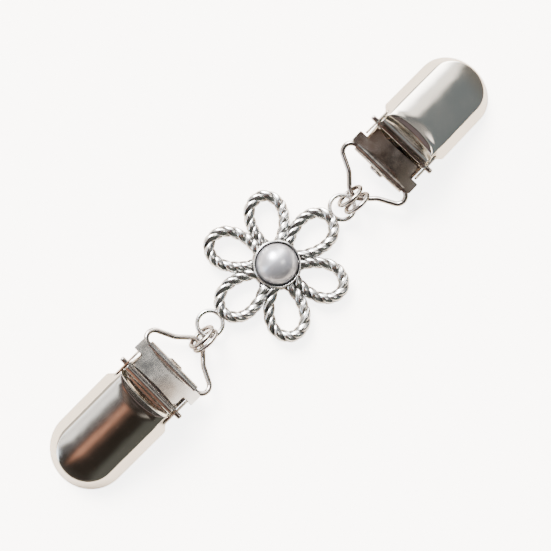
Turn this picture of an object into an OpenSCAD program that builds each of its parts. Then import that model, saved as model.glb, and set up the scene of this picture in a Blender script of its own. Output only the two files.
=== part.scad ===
/* [Clip shell] */
// Length of the domed shell from the hinge pin to the tip of its nose
shell_len = 28.9; // [27:0.1:31]
// Width of the domed shell
shell_w = 18.3; // [17.8:0.1:18.8]
// Height of the dome above its rim
shell_h = 4; // [3.7:0.1:4.4]
// Radius of the rolled shoulder between the crown and the side wall
shoulder_r = 2.6; // [2.2:0.1:3]
// Radius of the crown across the shell
crown_r = 28; // [24:1:34]
// Sheet thickness of the shell
shell_t = 0.55; // [0.45:0.05:0.6]
// Distance of the rim below the pin's axis
rim_drop = 0.4; // [0.3:0.05:0.6]
// Distance from the pin to the hip, where the crown turns down
hip_start = 4.6; // [4.4:0.05:4.8]
// Angle that the hip falls at
hip_fall = 21.8; // [18:0.2:24]
// Distance from the pin to the foot of the steep back behind the hip
back_foot = 1.85; // [1.8:0.05:2]
// Run of the steep back, measured along the shell
back_run = 0.65; // [0.6:0.05:0.8]
// Distance from the pin to where the shell has narrowed to its ears
ear_neck = 3.4; // [3.2:0.05:3.6]
// Width over the two ears
ear_w = 15.9; // [15.6:0.1:16.2]
// Reach of the ears beyond the pin
ear_reach = 3.75; // [3.4:0.05:3.8]

/* [Hinge] */
// Diameter of the hinge pin
pin_d = 1.2; // [1.1:0.02:1.4]
// How far each end of the pin stands out past the shell's widest part
pin_stick = 0.2; // [0:0.05:0.5]
// Radial clearance of the pin in its bores
pin_fit = 0.05; // [0.03:0.01:0.08]
// Metal left round a bore
bore_wall = 0.5; // [0.4:0.05:0.6]
// Gap between the sheets stacked side by side on the pin
side_gap = 0.15; // [0.1:0.05:0.2]
// Height of the pin's axis above the flat underside of the jaw
pin_z = 8; // [7.6:0.1:8.4]

/* [Jaw] */
// Sheet thickness of the jaw
jaw_t = 0.6; // [0.5:0.05:0.7]
// Clearance between the jaw and the inside of the shell's rim
jaw_fit = 0.4; // [0.35:0.05:0.6]
// Height of the teeth above the jaw plate
tooth_h = 0.9; // [0.6:0.1:1]
// Number of teeth round the nose
teeth = 9; // [5:2:11]
// Width of the thumb tab at the end of the tail
tab_w = 3.8; // [3:0.1:5]
// Angle that the tail rises at
tail_angle = 40; // [37:1:42]

/* [Lever] */
// Sheet thickness of the lever
lever_t = 0.5; // [0.4:0.05:0.55]
// Distance from the pin to the middle of the rolled end
lever_len = 7.2; // [7:0.1:7.6]
// Angle that the lever falls at when it is locked
lever_fall = 14; // [12:0.5:15]
// Distance of the lever's top face below the pin's axis
lever_drop = 0.78; // [0.7:0.02:0.85]
// How far the wide end's sides stand in from the shell's sides
wing_inset = 0.05; // [0:0.05:0.4]
// Length of the wide end's side
wing_len = 2.8; // [2.2:0.1:2.9]
// Length of the rolled end that holds the bail
roll_len = 14.6; // [13.6:0.1:14.7]

/* [Bail and jump rings] */
// Diameter of the bail's wire
bail_d = 1.1; // [1:0.05:1.2]
// Length of the bail from its bar to its tip
bail_len = 8.9; // [8.8:0.05:9.4]
// Radius of the bail's wide corners
bail_corner_r = 1.95; // [1.8:0.05:2.2]
// Angle between the bail's upper legs and the long axis
bail_leg_angle = 63; // [61:1:65]
// Radius of the bail's tip
bail_tip_r = 3; // [2.6:0.1:3.2]
// Diameter of the jump rings' wire
ring_wire_d = 0.94; // [0.8:0.02:1]
// Radius of the jump rings to the middle of their wire
ring_r = 3.15; // [3.05:0.05:3.4]
// Angle that the jump rings lean at
ring_lean = 70; // [66:1:74]
// Height of the bail's tip above the surface
bail_tip_z = 1.9; // [1.8:0.05:2.1]
// Distance from an eyelet's middle to its jump rings' middle
ring_hold = 3.37; // [3.3:0.01:3.6]
// Clearance inside a jump ring at the bail's tip, in the ring's plane
link_gap = 0.19; // [0.16:0.01:0.22]

/* [Flower] */
// Distance from the flower's middle to the rope's centre line at a petal's tip
petal_reach = 16.5; // [15.8:0.05:16.8]
// How far inside the setting's wall each petal starts
petal_sink = 0.61; // [0.4:0.01:0.8]
// Half width of a petal between rope centre lines
petal_half_w = 3.95; // [3.6:0.05:4.1]
// Diameter over the twisted rope
rope_d = 2.5; // [2.2:0.05:2.7]
// Depth of the valley between the rope's two strands
rope_groove = 0.42; // [0.3:0.02:0.5]
// Turns of twist along one petal
rope_turns = 7; // [5:1:8]
// Height of the rope's centre line above the flower's back
rope_z = 2; // [1.8:0.05:2.2]
// Number of petals
petals = 6; // [6:6]
// Turn of the flower about its own middle
flower_turn = -3.2; // [-5:0.1:0]
// Shift of the flower towards the right clip
flower_shift = 0.35; // [0:0.05:0.4]
// Radius of the end eyelets to the middle of their wire
eyelet_r = 2.93; // [2.8:0.01:3.1]
// Diameter of the eyelets' wire
eyelet_wire_d = 0.94; // [0.8:0.02:1]
// Depth that the eyelets run into the rope
eyelet_sink = 0.4; // [0.3:0.05:0.7]

/* [Pearl and setting] */
// Diameter of the pearl
pearl_d = 10; // [9.6:0.1:10.4]
// Clearance round and under the pearl
pearl_fit = 0.06; // [0.04:0.01:0.1]
// Wall of the setting
setting_wall = 0.5; // [0.4:0.05:0.6]
// Height of the setting's rim above the flower's back
setting_h = 4.1; // [3.8:0.1:4.4]
// Height of the pearl's seat above the flower's back
seat_z = 2.2; // [2:0.1:2.4]
// Thickness of the seat's floor
seat_t = 0.8; // [0.6:0.1:1]
// Width of the solid edge round the hollow of the setting's back
back_edge = 1.2; // [1:0.1:1.6]

/* [Lie on the surface] */
// Turn of the right clip about its pin
right_turn = 1.5; // [0:0.1:2]
// Sideways shift of the right clip
right_shift = -0.6; // [-0.8:0.1:0]
// Places of the jump rings along the bails' tips, left pair then right pair
ring_lies = [0.3, -1, -0.6, -2.85];
// Gap between the shell's nose and the surface
nose_gap = 0.05; // [0.02:0.01:0.1]

/* [Hidden] */
$fn = 48;

// Colours
bright_nickel = [0.80, 0.78, 0.74];
satin_nickel = [0.66, 0.65, 0.63];
cast_silver = [0.74, 0.74, 0.74];
pearl_white = [0.93, 0.92, 0.94];

// A cut reaches this far past what it cuts
cut = 1;
// A piece of one solid runs this far into its neighbour
lap = 0.05;

// Hinge
bore_r = pin_d / 2 + pin_fit;
eye_r = bore_r + bore_wall;
ear_in = ear_w / 2 - shell_t;
jaw_ear_out = ear_in - side_gap;
jaw_ear_in = jaw_ear_out - jaw_t;
lug_out = jaw_ear_in - side_gap;
lug_in = lug_out - lever_t;

// Shell: the tilt that lays its nose on the surface
nose_arm = norm([shell_len, rim_drop]);
shell_tilt = asin((pin_z - nose_gap) / nose_arm) - atan2(rim_drop, shell_len);
shell_half = shell_w / 2;
pin_len = shell_w + 2 * pin_stick;
pin_bevel = 0.2;
crown_z = shell_h - rim_drop;
valley_z = 0.9;
hip_slope = tan(hip_fall);
back_top = back_foot + back_run;
back_top_z = crown_z - (hip_start - back_top) * hip_slope;
back_slope = (back_top_z - valley_z) / back_run;
lip_z = eye_r + 0.12;
lip_len = 0.85;
lip_foot = 1.3;
step_run = 1.5;
ear_top_z = lip_z + 0.15;
ear_low_z = 1.7;

// Jaw
jaw_half = shell_half - shell_t - jaw_fit;
nose_x = -shell_len + shell_half;
jaw_nose_x = nose_x * cos(shell_tilt);
jaw_top = -pin_z + jaw_t;
tail_foot = 4.2;
tail_len = 5.2;
ear_front = 6.5;
ear_rear = 3.2;
plate_rear = 5.5;
tooth_w = 1.7;
curb_t = 0.7;
curb_h = 0.3;

// Lever and its rolled end
roll_bore_r = bail_d / 2 + pin_fit;
roll_r = roll_bore_r + lever_t;
roll_z = -lever_drop - roll_r;
neck_start = 1.45;
wing_start = ear_reach + 0.4;
wing_w = shell_w - 2 * wing_inset;
cam_r = pin_z - jaw_t - 0.5;
bar_x = lever_len * cos(lever_fall) + roll_z * sin(lever_fall);
bar_z = -lever_len * sin(lever_fall) + roll_z * cos(lever_fall);

// Chain: the clips hang on the bails' tips, and the jump rings sit between a tip and an eyelet
eyelet_x = petal_reach + rope_d / 2 + eyelet_r - eyelet_sink;
ring_x = eyelet_x + ring_hold;
ring_z = ring_r * sin(ring_lean) + ring_wire_d / 2;
// The bail's tip hangs inside the ring, this far from the ring's middle
link_reach = ring_r - ring_wire_d / 2 - bail_d / 2 - link_gap;
link_rise = (ring_z - bail_tip_z) / sin(ring_lean);
bail_tip_x = ring_x + sqrt(link_reach * link_reach - link_rise * link_rise);
bail_fall = asin((pin_z + bar_z - bail_tip_z) / bail_len);
pin_x = bail_tip_x + bail_len * cos(bail_fall) + bar_x;

// Setting
pocket_r = pearl_d / 2 + pearl_fit;
setting_r = pocket_r + setting_wall;

petal_root = setting_r - petal_sink;

// Petal outline: column 0 is the share of the way from the petal's root to its reach,
// column 1 the half width as a share of petal_half_w
PETAL = [
    [0.000, 0.42],
    [0.186, 0.74],
    [0.386, 0.95],
    [0.600, 1.02],
    [0.800, 0.88],
    [0.943, 0.50],
    [1.000, 0.00]
];
rope_rings = 60;
rope_sides = 10;

// Points of an arc about c, from angle a0 to a1 in n steps
function arc(c, r, a0, a1, n) =
    [for (i = [0:n]) let (a = a0 + (a1 - a0) * i / n) c + r * [cos(a), sin(a)]];

// Half outline of the dome across its width, inset by a sheet thickness
function dome_profile(inset, floor_z) =
    let (
        corner = [shell_half - shoulder_r, 0],
        low = crown_z - crown_r,
        corner_z = low + sqrt(pow(crown_r - shoulder_r, 2) - pow(corner[0], 2)),
        meet = atan2(corner_z - low, corner[0])
    )
    concat(
        [[0, floor_z], [shell_half - inset, floor_z]],
        arc([corner[0], corner_z], shoulder_r - inset, 0, meet, 7),
        [for (a = [meet + 3 : 3 : 89]) [0, low] + (crown_r - inset) * [cos(a), sin(a)]],
        [[0, low + crown_r - inset]]
    );

// The dome's full block: a straight body and a round nose, before its back is cut
module dome_block(inset, floor_z) {
    half = dome_profile(inset, floor_z);
    translate([nose_x, 0, 0]) {
        rotate([0, 0, 90]) rotate_extrude(angle = 180) polygon(half);
        translate([-lap, 0, 0]) rotate([90, 0, 90]) linear_extrude(-nose_x + lap) {
            polygon(half);
            mirror([1, 0]) polygon(half);
        }
    }
}

// Space under the hip and in front of the steep back, inset by a sheet thickness
module dome_limits(inset) {
    top = 2 * shell_h;
    low = -2 * shell_h;
    hip_drop = inset * norm([1, hip_slope]);
    back_drop = inset * norm([1, back_slope]);
    // The two slopes meet here once each has moved in
    meet = -back_top + (hip_drop - back_drop) / (back_slope - hip_slope);
    rotate([90, 0, 0]) linear_extrude(2 * shell_w, center = true)
        polygon([
            [-2 * shell_len, low],
            [-back_top + (back_top_z - back_drop - low) / back_slope, low],
            [meet, back_top_z - hip_drop - (meet + back_top) * hip_slope],
            [-hip_start - (top - crown_z + hip_drop) / hip_slope, top],
            [-2 * shell_len, top]
        ]);
}

module dome_plan(inset) {
    rear = ear_w / 2 - inset;
    side = shell_half - inset;
    translate([0, 0, -2 * shell_h]) linear_extrude(4 * shell_h)
        polygon([
            [-2 * shell_len, -side], [-ear_neck - step_run, -side], [-ear_neck, -rear], [0, -rear],
            [0, rear], [-ear_neck, rear], [-ear_neck - step_run, side], [-2 * shell_len, side]
        ]);
}

// Valley and raised lip between the ears, behind the steep back
module lip_bridge() {
    foot = -back_foot - 0.2;
    rotate([90, 0, 0]) linear_extrude(ear_w - shell_t, center = true)
        polygon([
            [foot, valley_z - 0.2], [-back_foot + 0.1, valley_z],
            [-lip_foot, valley_z], [-lip_len, lip_z + shell_t], [0, lip_z + shell_t],
            [0, lip_z], [-lip_len + 0.25, lip_z], [0.2 - lip_foot, valley_z - shell_t],
            [foot, valley_z - shell_t]
        ]);
}

module shell_ear() {
    rotate([90, 0, 0]) translate([0, 0, -ear_w / 2]) linear_extrude(shell_t) difference() {
        polygon(concat(
            [[-ear_neck - 0.6, ear_top_z], [-ear_neck - 0.6, -rim_drop], [-ear_neck + 0.8, -ear_low_z]],
            arc([0, 0], ear_reach, -27, 5, 4),
            [[ear_reach - 0.9, ear_top_z]]
        ));
        circle(bore_r);
    }
}

module shell() {
    color(bright_nickel) rotate([0, -shell_tilt, 0]) {
        difference() {
            intersection() {
                dome_block(0, -rim_drop);
                dome_limits(0);
                dome_plan(0);
            }
            intersection() {
                dome_block(shell_t, -rim_drop - cut);
                dome_limits(shell_t);
                dome_plan(shell_t);
            }
            translate([-ear_neck - 1.2, -ear_in, -rim_drop - cut])
                cube([ear_neck + 1.2, 2 * ear_in, rim_drop + cut + valley_z - shell_t]);
        }
        lip_bridge();
        shell_ear();
        mirror([0, 1, 0]) shell_ear();
    }
}

// The pin has a small round on each end
module pin() {
    color(satin_nickel) rotate([0, -shell_tilt, 0]) rotate([90, 0, 0]) {
        cylinder(h = pin_len - 2 * pin_bevel, r = pin_d / 2, center = true);
        for (end = [0, 180]) rotate([end, 0, 0])
            translate([0, 0, pin_len / 2 - pin_bevel - lap])
                cylinder(h = pin_bevel + lap, r1 = pin_d / 2, r2 = pin_d / 2 - pin_bevel);
    }
}

module jaw_plate() {
    rear = jaw_ear_out;
    translate([0, 0, -pin_z]) linear_extrude(jaw_t) {
        translate([jaw_nose_x, 0]) circle(jaw_half);
        polygon([
            [jaw_nose_x, -jaw_half], [-ear_front - 2, -jaw_half], [-ear_front, -rear], [plate_rear - 0.5, -rear],
            [plate_rear, 0.5 - rear], [plate_rear, rear - 0.5],
            [plate_rear - 0.5, rear], [-ear_front, rear], [-ear_front - 2, jaw_half], [jaw_nose_x, jaw_half]
        ]);
    }
}

// Curb and teeth round the nose, which pinch the cloth against the shell
module jaw_teeth() {
    spread = 120;
    translate([jaw_nose_x, 0, jaw_top - lap]) {
        rotate([0, 0, 180 - spread / 2]) rotate_extrude(angle = spread)
            translate([jaw_half - curb_t, 0]) square([curb_t - lap, curb_h + lap]);
        for (i = [0 : teeth - 1]) rotate([0, 0, 180 + spread * ((i + 0.5) / teeth - 0.5)])
            translate([jaw_half - curb_t + 0.15, 0, curb_h - lap]) rotate([90, 0, 90])
                linear_extrude(curb_t - 0.3)
                    polygon([[-tooth_w / 2, 0], [tooth_w / 2, 0], [0, tooth_h - curb_h + 2 * lap]]);
    }
}

module jaw_ear() {
    rotate([90, 0, 0]) translate([0, 0, -jaw_ear_out]) linear_extrude(jaw_t) difference() {
        union() {
            circle(eye_r);
            polygon([
                [-ear_front, -pin_z + lap], [-0.9 * eye_r, 0.3], [0.9 * eye_r, 0.3], [ear_rear, -pin_z + lap]
            ]);
        }
        circle(bore_r);
    }
}

// The tail rises under the lever and ends in a narrow thumb tab
module jaw_tail() {
    root = lug_in - side_gap;
    tip = tail_len + 0.3;
    half = tab_w / 2;
    translate([tail_foot - 0.3, 0, -pin_z]) rotate([0, -tail_angle, 0]) linear_extrude(jaw_t)
        polygon([
            [0, -root], [1, -root], [2.2, -half], [tip - 0.4, -half], [tip, 0.4 - half],
            [tip, half - 0.4], [tip - 0.4, half], [2.2, half], [1, root], [0, root]
        ]);
}

module jaw() {
    color(satin_nickel) {
        jaw_plate();
        jaw_teeth();
        jaw_ear();
        mirror([0, 1, 0]) jaw_ear();
        jaw_tail();
    }
}

module lever_lug() {
    rotate([90, 0, 0]) translate([0, 0, -lug_out]) linear_extrude(lever_t) difference() {
        union() {
            circle(eye_r);
            polygon([
                [0, -eye_r], [eye_r, 0], [neck_start, -lever_drop], [wing_start, -lever_drop],
                [wing_start - 0.2, -cam_r + 1.6], [wing_start - 1.2, -cam_r + 0.9],
                [1.2, -cam_r + 0.6], [-eye_r, -2.4], [-eye_r, 0]
            ]);
        }
        circle(bore_r);
    }
}

// The plate's end is rolled down round the bail's bar, with a narrow slit left under it
module lever_roll() {
    slit = 0.3;
    rotate([90, 0, 0]) linear_extrude(roll_len, center = true) difference() {
        union() {
            translate([lever_len, roll_z]) circle(roll_r);
            translate([wing_start, -lever_drop - lever_t]) square([lever_len - wing_start, lever_t]);
        }
        translate([lever_len, roll_z]) {
            circle(roll_bore_r);
            rotate(200) square([roll_r + slit, slit]);
        }
    }
}

module lever() {
    color(satin_nickel) rotate([0, lever_fall, 0]) {
        translate([neck_start, -lug_out, -lever_drop - lever_t])
            cube([wing_start - neck_start + lap, 2 * lug_out, lever_t]);
        translate([wing_start, -wing_w / 2, -lever_drop - lever_t]) cube([wing_len, wing_w, lever_t]);
        lever_roll();
        lever_lug();
        mirror([0, 1, 0]) lever_lug();
    }
}

// Bail: its bar lies along the roll, its tip points down the chain
bail_bar_half = roll_len / 2 + 0.1;
bail_throat_angle = 45;
bail_neck_r = 4;
corner_end = [bail_corner_r, bail_bar_half] + bail_corner_r * [sin(bail_leg_angle), cos(bail_leg_angle)];
leg_dir = [cos(bail_leg_angle), -sin(bail_leg_angle)];
throat_dir = [cos(bail_throat_angle), -sin(bail_throat_angle)];
tip_start = [bail_len - bail_tip_r + bail_tip_r * sin(bail_throat_angle), bail_tip_r * cos(bail_throat_angle)];
neck_turn = bail_leg_angle - bail_throat_angle;
neck_tangent = bail_neck_r * tan(neck_turn / 2);
// The leg and the throat are the two lines that meet at the neck
apart = tip_start - corner_end;
leg_full = (apart[0] * throat_dir[1] - apart[1] * throat_dir[0])
    / (leg_dir[0] * throat_dir[1] - leg_dir[1] * throat_dir[0]);
neck_start_at = corner_end + (leg_full - neck_tangent) * leg_dir;
neck_centre = neck_start_at + bail_neck_r * [-leg_dir[1], leg_dir[0]];

bail_sides = 12;
bail_half = concat(
    arc([bail_corner_r, bail_bar_half], bail_corner_r, 180, 90 - bail_leg_angle, 9),
    arc(neck_centre, bail_neck_r, 270 - bail_leg_angle, 270 - bail_throat_angle, 2),
    arc([bail_len - bail_tip_r, 0], bail_tip_r, 90 - bail_throat_angle, 0, 4)
);
bail_points = len(bail_half);
bail_path = concat(bail_half, [for (i = [bail_points - 2 : -1 : 0]) [bail_half[i][0], -bail_half[i][1]]]);

function unit(v) = v / norm(v);

// Round wire swept round a flat closed path
module wire_loop(path, wire_d, sides) {
    n = len(path);
    points = [
        for (k = [0 : n - 1]) let (
            p = path[k],
            h = unit(unit(path[(k + 1) % n] - p) + unit(p - path[(k + n - 1) % n]))
        )
        for (j = [0 : sides - 1]) let (a = 360 * j / sides, r = wire_d / 2)
        [p[0] - h[1] * r * cos(a), p[1] + h[0] * r * cos(a), r * sin(a)]
    ];
    faces = [for (k = [0 : n - 1], j = [0 : sides - 1]) let (
        a = k * sides, b = (k + 1) % n * sides, i = (j + 1) % sides
    ) [a + j, b + j, b + i, a + i]];
    polyhedron(points, faces, convexity = 6);
}

module bail() {
    color(bright_nickel) translate([bar_x, 0, bar_z]) rotate([0, bail_fall, 0])
        wire_loop(bail_path, bail_d, bail_sides);
}

// A clip's pieces are drawn about its pin, with the chain towards +X
module on_clip(side) {
    translate([side * pin_x, side < 0 ? 0 : right_shift, pin_z])
        rotate([0, 0, side < 0 ? 0 : 180 + right_turn]) children();
}

module jump_ring(side, y) {
    color(bright_nickel) translate([side * ring_x, y, ring_z]) rotate([-ring_lean, 0, 0])
        rotate_extrude() translate([ring_r, 0]) circle(ring_wire_d / 2);
}

// Smooth curve through the petal's table, mirrored over its tip
petal_n = len(PETAL);
function petal_knot(i) =
    let (j = i < petal_n ? i : 2 * petal_n - 2 - i, side = i < petal_n ? 1 : -1)
    [petal_root + PETAL[j][0] * (petal_reach - petal_root), side * PETAL[j][1] * petal_half_w];
petal_last = 2 * petal_n - 2;
function knot_at(i) =
    i < 0 ? 2 * petal_knot(0) - petal_knot(1)
    : i > petal_last ? 2 * petal_knot(petal_last) - petal_knot(petal_last - 1)
    : petal_knot(i);
function petal_point(s) =
    let (
        f = s * petal_last, i = min(floor(f), petal_last - 1), t = f - i,
        a = knot_at(i - 1), b = knot_at(i), c = knot_at(i + 1), d = knot_at(i + 2)
    )
    0.5 * (2 * b + (c - a) * t + (2 * a - 5 * b + 4 * c - d) * t * t + (3 * b - a - 3 * c + d) * t * t * t);
function petal_heading(s) =
    let (d = petal_point(min(s + 0.002, 1)) - petal_point(max(s - 0.002, 0))) d / norm(d);

// Two strands twisted together, swept along one petal
module rope_petal() {
    mean = (rope_d - rope_groove) / 2;
    points = [
        for (k = [0 : rope_rings]) let (
            s = k / rope_rings, p = petal_point(s), h = petal_heading(s), spin = 360 * rope_turns * s
        )
        for (j = [0 : rope_sides - 1]) let (
            a = 360 * j / rope_sides + spin,
            r = mean + rope_groove / 2 * cos(2 * (a - spin))
        )
        [p[0] - h[1] * r * cos(a), p[1] + h[0] * r * cos(a), r * sin(a)]
    ];
    faces = concat(
        [[for (j = [0 : rope_sides - 1]) j]],
        [for (k = [0 : rope_rings - 1], j = [0 : rope_sides - 1]) let (
            a = k * rope_sides + j, b = k * rope_sides + (j + 1) % rope_sides
        ) [a, a + rope_sides, b + rope_sides, b]],
        [[for (j = [rope_sides - 1 : -1 : 0]) rope_rings * rope_sides + j]]
    );
    polyhedron(points, faces, convexity = 10);
}

module eyelet() {
    translate([eyelet_x, 0, rope_z]) rotate_extrude($fn = 32)
        translate([eyelet_r, 0]) circle(eyelet_wire_d / 2, $fn = 8);
}

// One casting: resize gives it its stated height over the back and the setting's rim
module flower() {
    color(cast_silver) translate([flower_shift, 0, 0]) rotate([0, 0, flower_turn]) resize([0, 0, setting_h]) difference() {
        union() {
            for (i = [0 : petals - 1]) rotate([0, 0, 360 * i / petals])
                translate([0, 0, rope_z]) rope_petal();
            eyelet();
            rotate([0, 0, 180]) eyelet();
            cylinder(h = setting_h, r = setting_r);
        }
        translate([0, 0, seat_z]) cylinder(h = setting_h, r = pocket_r);
        translate([0, 0, -cut]) cylinder(h = seat_z - seat_t + cut, r = setting_r - back_edge);
    }
}

module pearl() {
    color(pearl_white) translate([flower_shift, 0, seat_z + pearl_fit]) intersection() {
        sphere(pearl_d / 2);
        translate([-pearl_d, -pearl_d, 0]) cube([2 * pearl_d, 2 * pearl_d, pearl_d]);
    }
}

flower();
pearl();
jump_ring(-1, ring_lies[0]);  // jump_ring_left_a
jump_ring(-1, ring_lies[1]);  // jump_ring_left_b
jump_ring(1, ring_lies[2]);  // jump_ring_right_a
jump_ring(1, ring_lies[3]);  // jump_ring_right_b
on_clip(-1) bail();  // bail_left
on_clip(1) bail();  // bail_right
on_clip(-1) lever();  // lever_left
on_clip(1) lever();  // lever_right
on_clip(-1) shell();  // shell_left
on_clip(1) shell();  // shell_right
on_clip(-1) pin();  // pin_left
on_clip(1) pin();  // pin_right
on_clip(-1) jaw();  // jaw_left
on_clip(1) jaw();  // jaw_right
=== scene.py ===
"""Sweater clip: two hinged nickel clips, a rope flower with a pearl, and the links between them.

Laid out as an add-on: sizes and colours are properties, each group of pieces has an operator.
"""

from math import asin, atan2, cos, hypot, pi, radians, sin, sqrt, tan

import bmesh
import bpy
from bpy.props import FloatProperty, FloatVectorProperty, PointerProperty
from mathutils import Matrix, Vector


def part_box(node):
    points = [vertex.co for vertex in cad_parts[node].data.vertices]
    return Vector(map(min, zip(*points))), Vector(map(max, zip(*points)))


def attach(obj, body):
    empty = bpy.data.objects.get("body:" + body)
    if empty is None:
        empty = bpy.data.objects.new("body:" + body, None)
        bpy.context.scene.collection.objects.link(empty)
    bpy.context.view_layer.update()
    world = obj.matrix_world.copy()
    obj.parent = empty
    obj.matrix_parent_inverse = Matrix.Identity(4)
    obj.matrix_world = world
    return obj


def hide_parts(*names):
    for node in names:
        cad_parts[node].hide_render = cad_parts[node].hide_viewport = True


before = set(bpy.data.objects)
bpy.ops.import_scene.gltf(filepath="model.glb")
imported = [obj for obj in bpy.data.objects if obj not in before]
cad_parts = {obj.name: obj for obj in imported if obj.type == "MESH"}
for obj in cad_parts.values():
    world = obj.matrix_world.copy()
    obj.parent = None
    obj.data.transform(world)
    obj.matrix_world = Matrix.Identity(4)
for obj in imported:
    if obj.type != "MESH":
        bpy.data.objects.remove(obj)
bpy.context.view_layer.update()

bl_info = {
    "name": "Sweater Clip Maker",
    "version": (1, 0, 0),
    "blender": (4, 5, 0),
    "location": "3D View > Sidebar > Sweater Clip",
    "description": "Makes a sweater clip with two hinged clips and a pearl flower",
    "category": "Object",
}

MM = 0.001
SIDES = ((-1, "left"), (1, "right"))


def linear(hex_colour):
    """Linear RGBA of an sRGB colour written as #rrggbb."""
    parts = [int(hex_colour[i:i + 2], 16) / 255 for i in (1, 3, 5)]
    return [c / 12.92 if c <= 0.04045 else ((c + 0.055) / 1.055) ** 2.4 for c in parts] + [1.0]


def size(name, text, default, low, high):
    return FloatProperty(name=name, description=text, default=default, min=low, max=high,
                         precision=5, unit="LENGTH", subtype="DISTANCE")


def angle(name, text, degree, low, high):
    return FloatProperty(name=name, description=text, default=radians(degree), min=radians(low),
                         max=radians(high), unit="ROTATION", subtype="ANGLE")


def colour(name, text, hex_colour):
    return FloatVectorProperty(name=name, description=text, default=linear(hex_colour), size=4,
                               min=0.0, max=1.0, subtype="COLOR")


# Properties

class ClipSizes(bpy.types.PropertyGroup):
    pin_x: size("Pin distance", "From the middle of the piece to each hinge pin", 0.039768, 0.03, 0.05)
    pin_z: size("Pin height", "Height of the hinge pins above the surface", 0.008, 0.006, 0.01)
    length: size("Shell length", "From the pin to the tip of the nose", 0.0291, 0.027, 0.031)
    half_width: size("Shell half width", "Half the width of the domed shell", 0.00915, 0.008, 0.01)
    sheet: size("Shell sheet", "Thickness of the shell's sheet metal", 0.00055, 0.0004, 0.0007)
    crown_radius: size("Crown radius", "Radius of the crown across the shell", 0.028, 0.02, 0.04)
    ear_half: size("Ear half width", "Half the width over the shell's ears", 0.00795, 0.0075, 0.0085)
    pin_length: size("Pin length", "Length of the hinge pin over both ends", 0.0187, 0.017, 0.019)
    pin_diameter: size("Pin diameter", "Diameter of the hinge pin", 0.0012, 0.001, 0.0014)
    lever_fall: angle("Lever fall", "Slope of the lever when it is locked", 14, 10, 18)
    right_turn: angle("Right clip turn", "How far the right clip is turned about its pin", 1.5, 0, 3)
    right_shift: size("Right clip shift", "Sideways shift of the right clip", -0.0006, -0.001, 0.0)


class ChainSizes(bpy.types.PropertyGroup):
    bail_wire: size("Bail wire", "Diameter of the bail's wire", 0.00118, 0.001, 0.0013)
    bail_length: size("Bail length", "From the bail's bar to its tip", 0.0089, 0.0085, 0.0095)
    bail_tip_z: size("Bail tip height", "Height of the bail's tip above the surface", 0.0019, 0.0017, 0.0022)
    ring_wire: size("Jump ring wire", "Diameter of the jump rings' wire", 0.00102, 0.0008, 0.0011)
    ring_radius: size("Jump ring radius", "To the middle of the wire", 0.00311, 0.003, 0.0034)
    ring_lean: angle("Jump ring lean", "How steeply the jump rings lean", 70, 60, 80)


class FlowerSizes(bpy.types.PropertyGroup):
    shift: size("Flower shift", "Shift of the flower towards the right clip", 0.00035, 0.0, 0.0005)
    turn: angle("Flower turn", "Turn of the flower about its own middle", -3.2, -6, 0)
    reach: size("Petal reach", "From the middle to the rope's centre line at a petal's tip", 0.0165, 0.015, 0.018)
    half_width: size("Petal half width", "Half the width between rope centre lines", 0.00395, 0.0035, 0.0043)
    rope: size("Rope diameter", "Diameter over the twisted rope", 0.00282, 0.002, 0.003)
    height: size("Rope height", "Height of the rope's centre line above the surface", 0.002, 0.0015, 0.0025)
    pearl: size("Pearl diameter", "Diameter of the pearl", 0.010, 0.009, 0.011)
    eyelet_radius: size("Eyelet radius", "To the middle of the wire", 0.00293, 0.0027, 0.0032)
    eyelet_wire: size("Eyelet wire", "Diameter of the eyelets' wire", 0.001, 0.0008, 0.001)


class Finishes(bpy.types.PropertyGroup):
    nickel: colour("Polished nickel", "Colour of the mirror-polished plate", "#d6cfc4")
    satin: colour("Satin nickel", "Colour of the levers and jaws", "#cbc6be")
    tarnish: colour("Tarnish", "Brown cast in the satin plate's thin places", "#a3988c")
    wire: colour("Wire", "Colour of the bright nickel wire", "#a79f98")
    silver: colour("Cast silver", "Colour of the flower's high places", "#dedcd8")
    # Painted shade: the flower's colour darkens from the silver of its high places, through a half-shaded wash, to
    # nearly black in the valleys
    half_shade_wash: colour("Worn wash", "Colour halfway down to the valleys", "#75726e")
    valley_shade: colour("Recess", "Colour of the flower's dark valleys", "#23211f")
    pearl: colour("Pearl", "Body colour of the pearl", "#aaa9ad")
    # Painted sheen at the pearl's edge
    pearl_rim_sheen: colour("Pearl rim", "Warm glow at the pearl's edge", "#cdbdb2")


class StageSettings(bpy.types.PropertyGroup):
    floor: colour("Floor", "Colour of the pale floor", "#f3e4d2")
    backlight: FloatProperty(name="Backlight", description="How brightly the paper is lit from behind",
                             default=5.0, min=0.0, max=20.0)
    light: FloatProperty(name="Light", description="Brightness of the soft studio surroundings",
                         default=1.0, min=0.1, max=4.0)
    camera_distance: size("Camera distance", "From the camera to the flower", 0.29039, 0.2, 0.6)
    camera_side: angle("Camera side tilt", "Tilt of the view towards the left clip", 7.74, 0, 20)
    camera_front: angle("Camera front tilt", "Tilt of the view towards the near side", 1.23, -5, 5)
    camera_roll: angle("Camera roll", "Turn of the picture about the view axis", -44.78, -90, 90)
    lens: FloatProperty(name="Lens", description="Focal length on a 36 mm wide sensor, in mm",
                        default=82.83, min=20.0, max=200.0)


# Nodes and materials

def add_node(tree, kind, inputs=None, **settings):
    """Adds a node, sets its properties, and sets or links its inputs."""
    new = tree.nodes.new(kind)
    for key, value in settings.items():
        setattr(new, key, value)
    for key, value in (inputs or {}).items():
        if isinstance(value, bpy.types.NodeSocket):
            tree.links.new(value, new.inputs[key])
        else:
            new.inputs[key].default_value = value
    return new


def start_material(name):
    """A new material, its node tree and the object coordinates in metres."""
    mat = bpy.data.materials.new(name)
    mat.use_nodes = True
    mat.node_tree.nodes.clear()
    return mat, mat.node_tree, add_node(mat.node_tree, "ShaderNodeTexCoord").outputs["Object"]


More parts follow.
